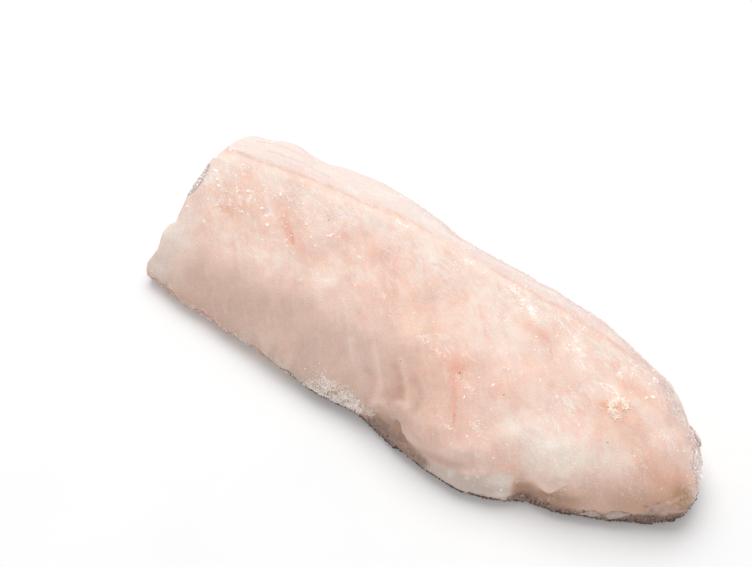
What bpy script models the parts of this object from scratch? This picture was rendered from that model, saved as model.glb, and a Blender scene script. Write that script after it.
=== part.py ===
"""A frozen skinless hoki loin, lying on its flat cut side.

x runs along the loin from the square cut end to the blunt tail end, y runs
across it from the thin near edge to the back edge, and z is up. Sizes are in
millimetres and are turned into metres when the mesh is made.
"""
import bpy
import numpy as np

MM = 0.001

# ---- the loin's main sizes ---------------------------------------------------
HEAD_X = -101.5          # the square cut end
TAIL_X = 100.0           # the blunt tail end

# One row each 25 mm: near edge y, back edge y, ridge y, ridge z, near edge z,
# back edge z, the crown of the top face, and how far the near side rolls over
STATION_FIRST = -100.0
STATION_STEP = 25.0
STATIONS = np.array([
    (-30.4, 37.2, 17.4, 27.0, 8.0, 12.0, 1.5, 0.0),
    (-33.2, 40.0, 23.8, 29.0, 8.5, 13.0, 2.0, 0.0),
    (-35.0, 42.6, 24.2, 30.0, 10.0, 13.0, 2.0, 0.0),
    (-36.6, 39.4, 27.0, 30.5, 12.0, 13.0, 2.5, 0.2),
    (-37.8, 34.9, 27.0, 30.5, 14.0, 12.0, 3.0, 0.5),
    (-42.4, 35.3, 26.0, 30.0, 16.0, 12.0, 3.5, 1.5),
    (-37.8, 32.5, 25.0, 29.0, 16.5, 11.0, 4.0, 3.2),
    (-28.4, 31.2, 18.0, 27.5, 16.5, 10.0, 4.0, 4.0),
    (-17.5, 25.6, 10.2, 26.0, 15.5, 10.0, 4.0, 4.0),
])

# Where each side starts to close in on the tail tip, and how squarely
TIP_Y, TIP_Z = -8.4, 9.0
BACK_CLOSE = (38.0, 2.25)
NEAR_CLOSE = (77.0, 2.6)
TOP_CLOSE = (60.0, 2.4)
FOOT_CLOSE = (84.0, 2.2)

# The mesh: rings along the loin, and points round each ring
RINGS = 88
SKIN_POINTS = 44
FOOT_POINTS = 5
FOOT_SINK = 0.25         # how far the underside is pressed flat

# The square cut: how far its outline stands back from HEAD_X at each y
CUT_Y = np.array([-34, -29, -25, -21, -16, -11, -4, 5, 13, 18, 22, 30, 38.0])
CUT_BACK = np.array([1.8, 0.4, 0.7, 0.5, -0.1, 1.9, 0.3, -0.3, -0.2, 1.2, 2.2, 2.2, 4.5])
CUT_REACH = 26.0         # the cut's outline fades along this length
CUT_ROUND = 1.6          # the rounding of the cut's rim
CUT_ICE = (1.5, 2.5, 14.0, 9.0, 6.0)   # glaze on the cut: bulge, y, z, half sizes

# ---- the relief, placed by x and by g, the distance up and over the skin ----
# from the foot of the near side
BAND_PITCH = 10.7        # one muscle band
BAND_LEAN = 0.68
BAND_CURL = 0.20
BAND_DEPTH = 0.7

SEAM_DEPTH = 0.75        # the groove where the back strip starts
SEAM_HALF = 1.5

FLAKE_EDGE = ((-9.0, 15.0), (1.0, 17.0), (9.0, 19.5), (15.0, 18.0),
              (21.0, 19.0), (29.0, 19.0), (37.0, 22.0))
FLAKE_RISE = 1.3
FLAKE_UNDER = 1.5        # the side stands back under the flake's edge

SECOND_EDGE = ((54.5, 22.5), (57.0, 19.0), (60.0, 17.2), (62.5, 19.2),
               (65.5, 21.6), (71.0, 23.5))
SECOND_RISE = 1.5

# Soft swellings and hollows: height, x, g, half length, half width, turn (deg)
SWELLS = (
    (1.5, 35.0, 7.0, 11.0, 4.5, 0.0),      # the low lobe on the near side
    (0.8, 16.0, 9.0, 5.0, 5.0, 0.0),
    (-1.6, 33.0, 17.0, 11.0, 3.4, 0.0),    # the step down to it
    (-2.9, 55.0, 10.0, 4.6, 9.0, -8.0),    # the hollow beside it
    (-1.3, 46.5, 23.0, 3.4, 7.0, 38.0),    # the hollow's upper end
    (-0.6, 66.0, 13.0, 8.0, 3.5, 0.0),     # below the second edge
    (1.5, 2.0, 5.5, 9.0, 3.6, 0.0),        # the foot under the flake
    (-1.1, 86.0, 6.0, 5.0, 4.0, 0.0),
    (1.2, 61.0, 33.0, 14.0, 8.0, 20.0),    # the pale shoulder
    (0.9, 66.0, 49.6, 3.0, 2.6, 0.0),      # a crusty knob
    (2.0, -86.0, 82.0, 7.0, 9.0, 0.0),     # the back strip's first fold
    (-1.9, -70.5, 84.0, 5.0, 8.0, 15.0),   # the notch after it
    (0.8, -38.0, 91.0, 7.0, 8.0, 0.0),
    (-1.0, -13.0, 90.0, 6.0, 8.0, 0.0),
    (-0.9, 58.0, 84.0, 6.0, 9.0, 0.0),
    (1.0, 73.0, 68.0, 5.0, 8.0, 0.0),
    (-0.6, -20.0, 56.0, 26.0, 10.0, 0.0),
    (0.5, 18.0, 52.0, 16.0, 10.0, 0.0),
    (-0.5, 36.0, 62.0, 9.0, 12.0, 0.0),
    (-0.5, -70.0, 40.0, 16.0, 12.0, 0.0),
    (-1.2, 84.0, 56.0, 3.0, 6.0, 0.0),     # between the glaze lumps at the tail
    (0.6, 90.0, 47.0, 3.0, 5.0, 0.0),
    (1.1, 95.0, 37.0, 3.5, 6.0, 0.0),
    (-0.9, -54.0, 8.0, 6.0, 6.0, 0.0),     # the uneven near edge
    (0.9, -40.0, 8.0, 7.0, 6.0, 0.0),
    (0.5, -24.0, 8.0, 5.0, 6.0, 0.0),
    (-0.7, -12.0, 8.0, 5.0, 6.0, 0.0),
)

# Fine unevenness: height and the two wavelengths
WAVES = ((0.25, 31.0, 43.0), (0.18, 19.0, 27.0), (0.13, 12.5, 15.0))
EDGE_WAVE = 0.22         # the ragged lower near edge


def along(values, x):
    """A smooth curve through the values at the stations."""
    padded = np.concatenate([[2 * values[0] - values[1]], values,
                             [2 * values[-1] - values[-2]]])
    place = (x - STATION_FIRST) / STATION_STEP
    place = np.clip(place, 0.0, len(values) - 1 - 1e-9)
    low = np.floor(place).astype(int)
    f = place - low
    a, b, c, d = (padded[low + k] for k in range(4))
    cubic = 3.0 * (b - c) + d - a
    return b + 0.5 * f * (c - a + f * (2 * a - 5 * b + 4 * c - d + f * cubic))


def closing(x, start, power):
    """1 along the loin, falling to 0 at the tail tip."""
    t = np.clip((x - start) / (TAIL_X - start), 0.0, 1.0)
    return (1.0 - t ** power) ** (1.0 / power)


def section_frame(x):
    """The control points of each section, as y and z: (rings, 14, 2)."""
    near, back, ridge, z_ridge, z_near, z_back, crown, roll = (
        along(STATIONS[:, k], x) for k in range(8))
    floor = 0.0 * near
    width = back - near

    def top(t):
        rise = z_near + (z_ridge - z_near) * t + crown * 4.0 * t * (1.0 - t)
        return near + (ridge - near) * t, rise

    points = [
        (0.5 * (near + back), floor),
        (near + 0.25 * width, floor),
        (near + 5.5, floor - 0.3),
        (near + 0.8 + 0.3 * roll, 0.20 * z_near),
        (near - 0.5 + 0.9 * roll, 0.72 * z_near),
        top(0.05 + 0.025 * roll),
        top(0.36),
        top(0.70),
        top(1.00),
        (ridge + 0.52 * (back - ridge), z_ridge - 0.30 * (z_ridge - z_back)),
        (back - 0.8, z_back + 0.30 * (z_ridge - z_back)),
        (back + 0.2, 0.50 * z_back),
        (back - 5.0, floor - 0.3),
        (back - 0.25 * width, floor),
    ]
    y = np.stack([p[0] for p in points], axis=1)
    z = np.stack([p[1] for p in points], axis=1)
    dy = y - TIP_Y
    dz = z - TIP_Z
    side = np.where(dy > 0.0, closing(x, *BACK_CLOSE)[:, None],
                    closing(x, *NEAR_CLOSE)[:, None])
    rise = np.where(dz > 0.0, closing(x, *TOP_CLOSE)[:, None],
                    closing(x, *FOOT_CLOSE)[:, None])
    return np.stack([TIP_Y + dy * side, TIP_Z + dz * rise], axis=-1)


def spline(control, t):
    """A closed uniform cubic B-spline of each section, at knots t."""
    count = control.shape[1]
    low = np.floor(t).astype(int)
    f = t - low
    weights = ((1 - f) ** 3 / 6, (3 * f ** 3 - 6 * f ** 2 + 4) / 6,
               (-3 * f ** 3 + 3 * f ** 2 + 3 * f + 1) / 6, f ** 3 / 6)
    total = 0.0
    for k, weight in enumerate(weights):
        total = total + control[:, (low + k - 1) % count] * weight[:, None]
    return total


def bare_surface(x):
    """Ring points without relief, with g and the ridge's g for each ring."""
    control = section_frame(x)
    knots = np.linspace(2.0, 12.0, 241)
    skin = spline(control, knots)
    steps = np.linalg.norm(np.diff(skin, axis=1), axis=2)
    length = np.concatenate([np.zeros((len(x), 1)), np.cumsum(steps, axis=1)], axis=1)
    count = SKIN_POINTS + FOOT_POINTS
    yz = np.empty((len(x), count, 2))
    g = np.zeros((len(x), count))
    g_ridge = length[:, 144]
    for r in range(len(x)):
        places = np.linspace(0.0, length[r, -1], SKIN_POINTS)
        yz[r, :SKIN_POINTS, 0] = np.interp(places, length[r], skin[r, :, 0])
        yz[r, :SKIN_POINTS, 1] = np.interp(places, length[r], skin[r, :, 1])
        g[r, :SKIN_POINTS] = places
    foot_knots = np.linspace(12.0, 16.0, FOOT_POINTS + 2)[1:-1]
    yz[:, SKIN_POINTS:] = spline(control, foot_knots)
    yz[..., 1] = np.maximum(yz[..., 1] - FOOT_SINK, 0.0)
    xs = np.repeat(x[:, None], count, axis=1)
    return np.concatenate([xs[..., None], yz], axis=2), g, g_ridge, length[:, -1]


def swell(x, g, height, x0, g0, half_x, half_g, turn):
    a = np.radians(turn)
    u = (x - x0) * np.cos(a) + (g - g0) * np.sin(a)
    w = -(x - x0) * np.sin(a) + (g - g0) * np.cos(a)
    return height * np.exp(-(u / half_x) ** 2 - (w / half_g) ** 2)


def edge_step(x, g, edge, fade_length, soft):
    """1 above a scalloped edge, fading with g; 0 below it and off its ends."""
    ex = np.array([p[0] for p in edge])
    eg = np.array([p[1] for p in edge])
    above = g - np.interp(x, ex, eg)
    rise = 0.5 + 0.5 * np.tanh(above / soft)
    ends = np.clip((x - ex[0]) / 5.0, 0, 1) * np.clip((ex[-1] - x) / 5.0, 0, 1)
    return rise * np.exp(-np.maximum(above, 0.0) / fade_length) * ends, above, ends


def relief(x, g, g_ridge, g_end):
    """How far the skin stands out from the bare surface."""
    out = np.zeros_like(x)
    for row in SWELLS:
        out += swell(x, g, *row)

    band = x + BAND_LEAN * (g - 30.0) + BAND_CURL * np.maximum(27.0 - g, 0.0) ** 2
    groove = np.exp(-(((band + 0.5 * BAND_PITCH) % BAND_PITCH) - 0.5 * BAND_PITCH) ** 2 / 3.4)
    strong = np.exp(-((band - 4.0) / 15.0) ** 2 - ((g - 28.0) / 8.0) ** 2)
    faint = np.exp(-((x + 20.0) / 55.0) ** 2 - ((g - 38.0) / 16.0) ** 2)
    out -= BAND_DEPTH * groove * (strong + 0.10 * faint)

    flake, above, ends = edge_step(x, g, FLAKE_EDGE, 7.0, 0.9)
    under = np.exp(-((above + 5.0) / 3.4) ** 2) * ends * np.clip((27.0 - x) / 10.0, 0, 1)
    out += FLAKE_RISE * flake - FLAKE_UNDER * under
    second = edge_step(x, g, SECOND_EDGE, 9.0, 0.9)[0]
    out += SECOND_RISE * second

    across = g - g_ridge[:, None]
    open_seam = np.clip((62.0 - x) / 14.0, 0, 1)
    out -= SEAM_DEPTH * open_seam * np.exp(-(across / SEAM_HALF) ** 2)
    out += 0.45 * open_seam * np.exp(-((across + 3.4) / 2.0) ** 2)

    for k, (height, wave_x, wave_g) in enumerate(WAVES):
        phase = 1.7 * k + 0.6 * np.sin(g / wave_g * 2.1 + k)
        out += height * np.sin(6.283 * x / wave_x + phase) * np.sin(6.283 * g / wave_g + 2.3 * k)
    ragged = np.sin(x * 1.31 + 0.9) * np.sin(x * 0.53 + 0.3) + 0.5 * np.sin(x * 2.17)
    low_edge = np.exp(-((g - 9.0) / 4.0) ** 2) * np.clip((x + 70.0) / 30.0, 0, 1)
    out += EDGE_WAVE * ragged * low_edge

    lift_off = np.clip(g / 5.0, 0, 1) * np.clip((g_end[:, None] - g) / 5.0, 0, 1)
    return out * lift_off ** 2 * (3.0 - 2.0 * lift_off)


def outward(points):
    """Unit normals of a closed band of rings, facing out."""
    du = np.gradient(points, axis=0)
    dv = np.roll(points, -1, axis=1) - np.roll(points, 1, axis=1)
    normal = np.cross(du, dv)
    size = np.linalg.norm(normal, axis=2, keepdims=True)
    normal = normal / np.maximum(size, 1e-9)
    middle = points.mean(axis=1, keepdims=True)
    facing = np.sum(normal * (points - middle), axis=2).mean()
    return normal if facing > 0 else -normal


def ring_places():
    """Even along the loin and closer towards the tail tip."""
    u = np.linspace(0.0, 1.0, RINGS)
    length = TAIL_X - HEAD_X
    curve = 0.78 + 0.22 * np.sin((u - 0.78) / 0.22 * 0.5 * np.pi)
    x = HEAD_X + length * np.where(u > 0.78, curve, u)
    return x[:-1]


def loin_rings():
    x = ring_places()
    points, g, g_ridge, g_end = bare_surface(x)
    normal = outward(points)
    stand = relief(points[..., 0], g, g_ridge, g_end)
    stand[:, SKIN_POINTS:] = 0.0
    points = points + normal * stand[..., None]
    reach = np.clip(1.0 - (x - HEAD_X) / CUT_REACH, 0.0, 1.0)[:, None] ** 1.5
    points[..., 0] += reach * np.interp(points[..., 1], CUT_Y, CUT_BACK)
    points[..., 2] = np.maximum(points[..., 2], 0.0)
    return points


def cut_face(first):
    """Rings that round the cut's rim and close the square end."""
    middle = np.array([first[:, 0].mean(), first[:, 1].mean(), 0.5 * first[:, 2].max()])
    away = first[:, 1:] - middle[1:]
    bulge, y0, z0, half_y, half_z = CUT_ICE
    rings = []
    for shrink, depth in ((0.985, 0.6), (0.94, 1.0), (0.78, 1.05), (0.58, 1.0),
                          (0.38, 0.95), (0.17, 0.9)):
        ring = first.copy()
        ring[:, 1:] = middle[1:] + away * shrink
        y, z = ring[:, 1], ring[:, 2]
        inside = 1.0 - shrink ** 4
        ring[:, 0] = first[:, 0] + inside * (middle[0] - first[:, 0]) - depth * CUT_ROUND
        rough = 0.35 * np.sin(y * 0.33 + 0.7) * np.sin(z * 0.41 + y * 0.15)
        ice = bulge * np.exp(-((y - y0) / half_y) ** 2 - ((z - z0) / half_z) ** 2)
        ring[:, 0] -= (rough + ice) * min(1.0, 6.0 * (1.0 - shrink))
        rings.append(ring)
    return rings


def build_mesh():
    rings = loin_rings()
    cut = cut_face(rings[0])
    stack = cut[::-1] + [ring for ring in rings]
    count = rings.shape[1]
    verts = np.concatenate(stack, axis=0)
    head = stack[0].mean(axis=0)
    tail = np.array([TAIL_X, TIP_Y, TIP_Z])
    verts = np.concatenate([verts, [head, tail]], axis=0)
    faces = []
    for r in range(len(stack) - 1):
        for k in range(count):
            a = r * count + k
            b = r * count + (k + 1) % count
            c = a + count
            d = b + count
            if (r + k) % 2:
                faces += [(a, c, b), (b, c, d)]
            else:
                faces += [(a, c, d), (a, d, b)]
    last = (len(stack) - 1) * count
    for k in range(count):
        nxt = (k + 1) % count
        faces.append((len(verts) - 2, k, nxt))
        faces.append((len(verts) - 1, last + nxt, last + k))
    low = verts.min(axis=0)
    high = verts.max(axis=0)
    verts[:, :2] -= 0.5 * (low + high)[:2]
    verts[:, 2] -= low[2]
    return verts * MM, faces


def flesh_material():
    material = bpy.data.materials.new("frozen_flesh")
    material.use_nodes = True
    shader = material.node_tree.nodes["Principled BSDF"]
    shader.inputs["Base Color"].default_value = (0.80, 0.62, 0.54, 1.0)
    shader.inputs["Roughness"].default_value = 0.45
    shader.inputs["Metallic"].default_value = 0.0
    return material


def build():
    for old in list(bpy.data.objects):
        bpy.data.objects.remove(old, do_unlink=True)
    verts, faces = build_mesh()
    mesh = bpy.data.meshes.new("hoki_loin")
    mesh.from_pydata([tuple(v) for v in verts], [], faces)
    mesh.validate()
    mesh.update()
    mesh.materials.append(flesh_material())
    loin = bpy.data.objects.new("hoki_loin", mesh)
    bpy.context.scene.collection.objects.link(loin)


build()
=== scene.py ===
from math import cos, exp, pi, radians, sin

import bmesh
import bpy
import numpy as np
from mathutils import Matrix, Vector
from mathutils.bvhtree import BVHTree


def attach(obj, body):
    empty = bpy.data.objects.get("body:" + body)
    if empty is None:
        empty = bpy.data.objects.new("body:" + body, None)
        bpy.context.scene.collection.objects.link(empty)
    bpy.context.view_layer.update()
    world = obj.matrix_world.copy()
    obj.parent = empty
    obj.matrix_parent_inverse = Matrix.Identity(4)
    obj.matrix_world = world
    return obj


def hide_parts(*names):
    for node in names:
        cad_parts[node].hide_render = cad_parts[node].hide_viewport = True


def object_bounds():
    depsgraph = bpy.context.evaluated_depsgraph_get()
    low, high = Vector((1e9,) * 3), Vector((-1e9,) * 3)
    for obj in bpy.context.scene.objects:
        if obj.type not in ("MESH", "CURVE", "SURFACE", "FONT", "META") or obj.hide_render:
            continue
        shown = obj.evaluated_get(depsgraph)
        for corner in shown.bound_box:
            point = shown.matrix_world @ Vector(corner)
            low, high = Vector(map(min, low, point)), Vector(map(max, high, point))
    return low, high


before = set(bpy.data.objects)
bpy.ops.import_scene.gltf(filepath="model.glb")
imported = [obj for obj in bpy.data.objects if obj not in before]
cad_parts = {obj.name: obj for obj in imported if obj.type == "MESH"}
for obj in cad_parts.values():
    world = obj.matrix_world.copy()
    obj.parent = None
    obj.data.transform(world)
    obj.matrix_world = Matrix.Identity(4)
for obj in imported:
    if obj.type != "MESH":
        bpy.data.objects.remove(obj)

MM = 0.001
NODE = "hoki_loin"
cad_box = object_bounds()
LOW, HIGH = np.array(cad_box[0]) / MM, np.array(cad_box[1]) / MM
seeded = np.random.default_rng


# ---- numbers and noise ----

def linear(r, g, b):
    """A colour given as 0-255 display values, as linear light."""
    c = np.array([r, g, b], float) / 255.0
    return np.where(c <= 0.04045, c / 12.92, ((c + 0.055) / 1.055) ** 2.4)


def noise(p, size, seed):
    """Smooth noise between -1 and 1; p is (n, 3) in mm, size the blob size."""
    rng = seeded(seed)
    table = rng.uniform(-1.0, 1.0, (32, 32, 32))
    q = p / size + rng.uniform(0, 32, 3)
    low = np.floor(q).astype(int)
    f = q - low
    f = f * f * f * (f * (f * 6 - 15) + 10)
    out = np.zeros(len(p))
    for i in (0, 1):
        for j in (0, 1):
            for k in (0, 1):
                w = (np.where(i, f[:, 0], 1 - f[:, 0]) * np.where(j, f[:, 1], 1 - f[:, 1])
                     * np.where(k, f[:, 2], 1 - f[:, 2]))
                out += w * table[(low[:, 0] + i) % 32, (low[:, 1] + j) % 32, (low[:, 2] + k) % 32]
    return out


def layered(p, size, seed, layers=3, gain=0.5):
    """Noise of several sizes, each half as large as the one before."""
    total, height, norm = np.zeros(len(p)), 1.0, 0.0
    for k in range(layers):
        total += height * noise(p, size / 2 ** k, seed + k)
        norm += height
        height *= gain
    return total / norm


def turned(p, turn, x=0.0, y=0.0):
    """Distances from (x, y) along and across a direction seen from above."""
    a, u, v = radians(turn), p[:, 0] - x, p[:, 1] - y
    return u * cos(a) + v * sin(a), v * cos(a) - u * sin(a)


def fibres(p, turn, length, width, seed):
    """Noise drawn out along a direction seen from above."""
    u, v = turned(p, turn)
    bend = 1.5 * noise(p, 12.0, seed + 9)
    return noise(np.stack([u / length, (v + bend) / width, p[:, 2] / 6.0], 1), 1.0, seed)


def ramp(v, low, high):
    """A soft step from 0 at low to 1 at high."""
    t = np.clip((v - low) / (high - low), 0.0, 1.0)
    return t * t * (3.0 - 2.0 * t)


def spot(p, x, y, half_x, half_y, turn=0.0):
    """A soft patch seen from above, all in mm and degrees."""
    u, v = turned(p, turn, x, y)
    return np.exp(-(u / half_x) ** 2 - (v / half_y) ** 2)


def stroke(u, v, points, half):
    """A soft stroke along a line of points given in the plane (u, v)."""
    best = np.full(len(u), 1e9)
    for (ax, ay), (bx, by) in zip(points[:-1], points[1:]):
        dx, dy = bx - ax, by - ay
        t = np.clip(((u - ax) * dx + (v - ay) * dy) / (dx * dx + dy * dy), 0, 1)
        best = np.minimum(best, (u - ax - t * dx) ** 2 + (v - ay - t * dy) ** 2)
    return np.exp(-best / half ** 2)


# ---- meshes ----

def coords(mesh):
    co = np.empty(len(mesh.vertices) * 3)
    mesh.vertices.foreach_get("co", co)
    return co.reshape(-1, 3) / MM


def normals(mesh):
    no = np.empty(len(mesh.vertices) * 3)
    mesh.vertices.foreach_get("normal", no)
    return no.reshape(-1, 3)


def corners(mesh):
    mesh.calc_loop_triangles()
    tri = np.empty(len(mesh.loop_triangles) * 3, dtype=np.int64)
    mesh.loop_triangles.foreach_get("vertices", tri)
    return tri.reshape(-1, 3)


def linked(name, data):
    obj = bpy.data.objects.new(name, data)
    bpy.context.scene.collection.objects.link(obj)
    return obj


def link_mesh(name, verts, faces, material, smooth=False):
    """A piece from points in mm, kept inside the loin's box, riding on the frame."""
    smooth = smooth if isinstance(smooth, list) else [smooth] * len(faces)
    verts = np.clip(verts, LOW, HIGH) * MM
    mesh = bpy.data.meshes.new(name)
    mesh.from_pydata(verts.tolist(), [], [tuple(int(i) for i in f) for f in faces])
    mesh.materials.append(material)
    mesh.polygons.foreach_set("use_smooth", smooth)
    obj = linked(name, mesh)
    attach(obj, "root")


def evaluated(obj):
    """The object's mesh with its modifiers applied."""
    graph = bpy.context.evaluated_depsgraph_get()
    return bpy.data.meshes.new_from_object(obj.evaluated_get(graph))


def ico():
    g = (1 + 5 ** 0.5) / 2
    v = np.array([(-1, g, 0), (1, g, 0), (-1, -g, 0), (1, -g, 0), (0, -1, g), (0, 1, g),
                  (0, -1, -g), (0, 1, -g), (g, 0, -1), (g, 0, 1), (-g, 0, -1), (-g, 0, 1)])
    f = np.array([(0, 11, 5), (0, 5, 1), (0, 1, 7), (0, 7, 10), (0, 10, 11), (1, 5, 9),
                  (5, 11, 4), (11, 10, 2), (10, 7, 6), (7, 1, 8), (3, 9, 4), (3, 4, 2),
                  (3, 2, 6), (3, 6, 8), (3, 8, 9), (4, 9, 5), (2, 4, 11), (6, 2, 10),
                  (8, 6, 7), (9, 8, 1)])
    return v / np.linalg.norm(v[0]), f


def octa():
    v = np.array([(1, 0, 0), (-1, 0, 0), (0, 1, 0), (0, -1, 0), (0, 0, 1), (0, 0, -1)], float)
    f = np.array([(0, 2, 4), (2, 1, 4), (1, 3, 4), (3, 0, 4), (2, 0, 5), (1, 2, 5),
                  (3, 1, 5), (0, 3, 5)])
    return v, f


def grains(name, places, facing, sizes, seed, material, lift, form=octa):
    """Irregular crystals, one per place, half sunk in the surface they sit on."""
    rng = seeded(seed)
    base, faces = form()
    count = len(places)
    jitter = 1 + rng.uniform(-0.35, 0.25, (count, len(base), 1))
    stretch = rng.uniform(0.6, 1.35, (count, 1, 3))
    quat = rng.normal(size=(count, 4))
    quat /= np.linalg.norm(quat, axis=1)[:, None]
    w, x, y, z = quat.T
    turn = np.stack([1 - 2 * (y * y + z * z), 2 * (x * y - w * z), 2 * (x * z + w * y),
                     2 * (x * y + w * z), 1 - 2 * (x * x + z * z), 2 * (y * z - w * x),
                     2 * (x * z - w * y), 2 * (y * z + w * x), 1 - 2 * (x * x + y * y)], 1)
    turn = turn.reshape(-1, 3, 3)
    verts = np.einsum("nij,nkj->nki", turn, base[None] * jitter * stretch)
    verts = verts * sizes[:, None, None] + (places + facing * (lift * sizes)[:, None])[:, None]
    index = faces[None] + (np.arange(count) * len(base))[:, None, None]
    link_mesh(name, verts.reshape(-1, 3), index.reshape(-1, 3), material)


# ---- the flesh: the loin's own form with its fine relief ----

# Lines in mm: seen from above as (x, y), or on the near side as (x, z). END_EDGE is (y, shift in x).
SEAM = np.array([(-100, 18.6), (-93, 19.3), (-83, 19.3), (-75.5, 20.4), (-68.5, 21.7),
                 (-61.5, 22.7), (-44, 23.3), (-33, 25.3), (-24.5, 25.6), (-15.5, 24.8),
                 (1, 24.4), (8, 23.7), (31, 23.1), (48, 22.3), (59, 20.6), (65, 17.1)])
SEAM_SHADE = ((-83, 20), (-74, 21.3), (-65, 22), (-57, 22.5))
CREASE = ((-84.5, 28), (-81, 27.6), (-78, 28), (-74.5, 29), (-71.5, 30.5))
CRESCENTS = (((-2.5, -21.5), (1, -23.5), (3, -26.5), (4, -29.5), (3, -32.5)),
             ((6, -23), (9.5, -25), (11.5, -27.5), (12, -31)),
             ((-9.5, -27), (-6, -28), (-4.5, -32), (-5, -34.5)))
FOLDS = (((-93, 28.5), (-89, 30), (-84, 30.5), (-74.5, 30)),
         ((-86, 25), (-77.5, 26), (-68, 27), (-60.5, 26)))
DIP = ((37, -33.5), (36.5, -30), (35.5, -26.5))
RECESS = np.array([(-7, 7), (-4, 9.5), (-1, 12), (4, 13.8), (8, 14.8), (9.6, 14.2), (11, 11.2),
                   (14, 10.3), (20, 9.6), (26, 9.4), (32, 10.8), (38, 13.5), (45, 17)])
HOLLOW = np.array([(50.5, 20), (53.5, 17.5), (57.5, 12.8), (60, 11), (62.5, 11.5), (64.5, 14.5),
                   (66.5, 16.8), (70.5, 17.6), (73, 19), (77, 20.5)])
LOBE = np.array([(21, 8.5), (24, 10), (27, 11.2), (35, 11.5), (40, 12.4), (43, 14), (46, 15.2),
                 (50.5, 14.6), (52, 9)])
SHADE = ((13, 8.7), (17, 9.4), (21, 10.7), (26, 11.9), (31, 12.2), (36, 12.9),
         (41, 13.6))
RIM = np.array([(-6, 4), (0, 7), (20, 6), (25, 3), (48, 3), (53, 8), (66, 8), (80, 7), (90, 8),
                (101, 10)])
END_EDGE = np.array([(-31, 0), (-27, -0.5), (-22, 0.3), (-17, -0.7), (-14, -0.3), (-11.5, 1),
                     (-8.5, 0.1), (20, 0)])
GROOVES = (
    # depth, half width, points
    (0.08, 0.5, CREASE), *((0.08, 0.6, line) for line in FOLDS),
    *((0.15, 1.5, line) for line in CRESCENTS), (0.3, 1.8, DIP),
)
NEAR_SIDE = -24  # y: nearer than this lie the recess, the lobe and the hollow
CUT_END = -101.2  # x
VOXEL = 0.6
SMOOTHINGS = 9


def line_at(line, x):
    return np.interp(x, line[:, 0], line[:, 1])


def remeshed(source):
    """An even fine mesh of the loin's own form."""
    shape = source.data.copy()
    work = bmesh.new()
    work.from_mesh(shape)
    bmesh.ops.remove_doubles(work, verts=work.verts, dist=1e-6)
    work.to_mesh(shape)
    work.free()
    obj = linked("flesh", shape)
    grid = obj.modifiers.new("grid", "REMESH")
    grid.mode = "VOXEL"
    grid.voxel_size = VOXEL * MM
    soften = obj.modifiers.new("soften", "SMOOTH")
    soften.factor = 0.5
    soften.iterations = SMOOTHINGS
    obj.data = evaluated(obj)
    obj.modifiers.clear()
    return obj


def seam_distance(p):
    """Distance behind the seam line, in mm; negative on the near side of it."""
    return p[:, 1] - line_at(SEAM, p[:, 0]) - 0.4 * layered(p, 8, 3) - 0.2 * noise(p, 2.2, 5)


def seam_fade(p, n):
    """1 where the seam shows; it fades towards the tail and down the sides."""
    return ramp(66 - p[:, 0], 0, 14) * ramp(n[:, 2], 0.3, 0.7)


def frayed(p):
    """How far an edge line on the near side wanders up and down, in mm."""
    return 0.45 * layered(p, 3.5, 31) + 0.3 * layered(p, 1.5, 35, 2)


def crumbly(p):
    """The frosted crumbly stretch of the near edge, thickest along its top."""
    x = p[:, 0] + 2.5 * noise(p, 3.5, 42)
    z = p[:, 2] - 0.8 * noise(p, 3, 43)
    floor = 2 + 0.35 * np.clip(x + 14, 0, 14)
    along = ramp(x, -30, -20) * ramp(-0.5 - x, 0, 7) * ramp(-31.5 - p[:, 1], 0, 2.5)
    return along * ramp(z - floor, 0, 2) * ramp(13.2 - z, 0, 3)


def crust_grit(p):
    """The coarse grit of the crumbly stretch."""
    return np.abs(layered(p, 1.7, 41, 2))


def foot(p):
    """The wavy undercut below the near edge, left of the crumbly stretch."""
    x, y, z = p.T
    edge = 6.6 - 5 * spot(p, -82, -32, 3, 20) - 1.6 * ramp(x, -34, -26)
    edge += 1.5 * noise(p, 5, 45) + 0.6 * noise(p, 1.6, 46)
    return ramp(edge - z, -0.6, 1.5) * ramp(-5 - x, 0, 5) * ramp(-20 - y, 0, 4)


def knobs(p):
    """Pale knobs of ice along the near edge, above the undercut."""
    x, y, z = p.T
    along = ramp(x, -66, -50) * ramp(-22 - x, 0, 8) * (y < NEAR_SIDE)
    band = ramp(z, 3.5, 6) * ramp(11.5 + 1.5 * noise(p, 5, 58) - z, 0, 4.5)
    return along * band * (0.35 + 0.65 * ramp(layered(p, 2.6, 57, 2), -0.2, 0.4))


def rim(p, n):
    """The frosty foot of the near side, from the recess to the tip."""
    x, y, z = p.T
    rise = ramp(line_at(RIM, x) - z + 1.2 * frayed(p), -0.6, 2.2)
    return rise * ramp(x, -6, 0) * ramp(7 - y, 0, 7) * ramp(0.6 - n[:, 2], 0, 0.3)


def lump(p, middle, half):
    """A soft lump in space, from its middle and half sizes."""
    return np.exp(-(((p - middle) / half) ** 2).sum(axis=1))


def end_lobes(p):
    """The two lobes of ice at the tip's back corner, and the coat over both."""
    uneven = 0.2 * noise(p, 3.2, 301) + 0.1 * noise(p, 1.4, 302)
    first = lump(p, (91, 12.6, 14.5), (5, 5.5, 8))
    second = lump(p, (97.5, 3.4, 14.5), (5, 5, 7))
    return first, second, ramp(np.maximum(first, second) + uneven, 0.34, 0.62)


def cut_glaze(p):
    """The lens of ice on the cut end, just below its upper edge."""
    x, y, z = p.T
    along = (y - 2.8 + 1.6 * noise(p, 3, 305)) / 8.6
    edge = CUT_END + 2.4 * np.clip(1 - along ** 2, 0, 1) + 0.15 * noise(p, 1.6, 303)
    down = z - 4 * along ** 2 + 1.5 * noise(p, 2.5, 304)
    return ramp(edge - x, 0, 0.5) * ramp(1 - np.abs(along), 0, 0.25) * ramp(down, 13.5, 17)


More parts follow.
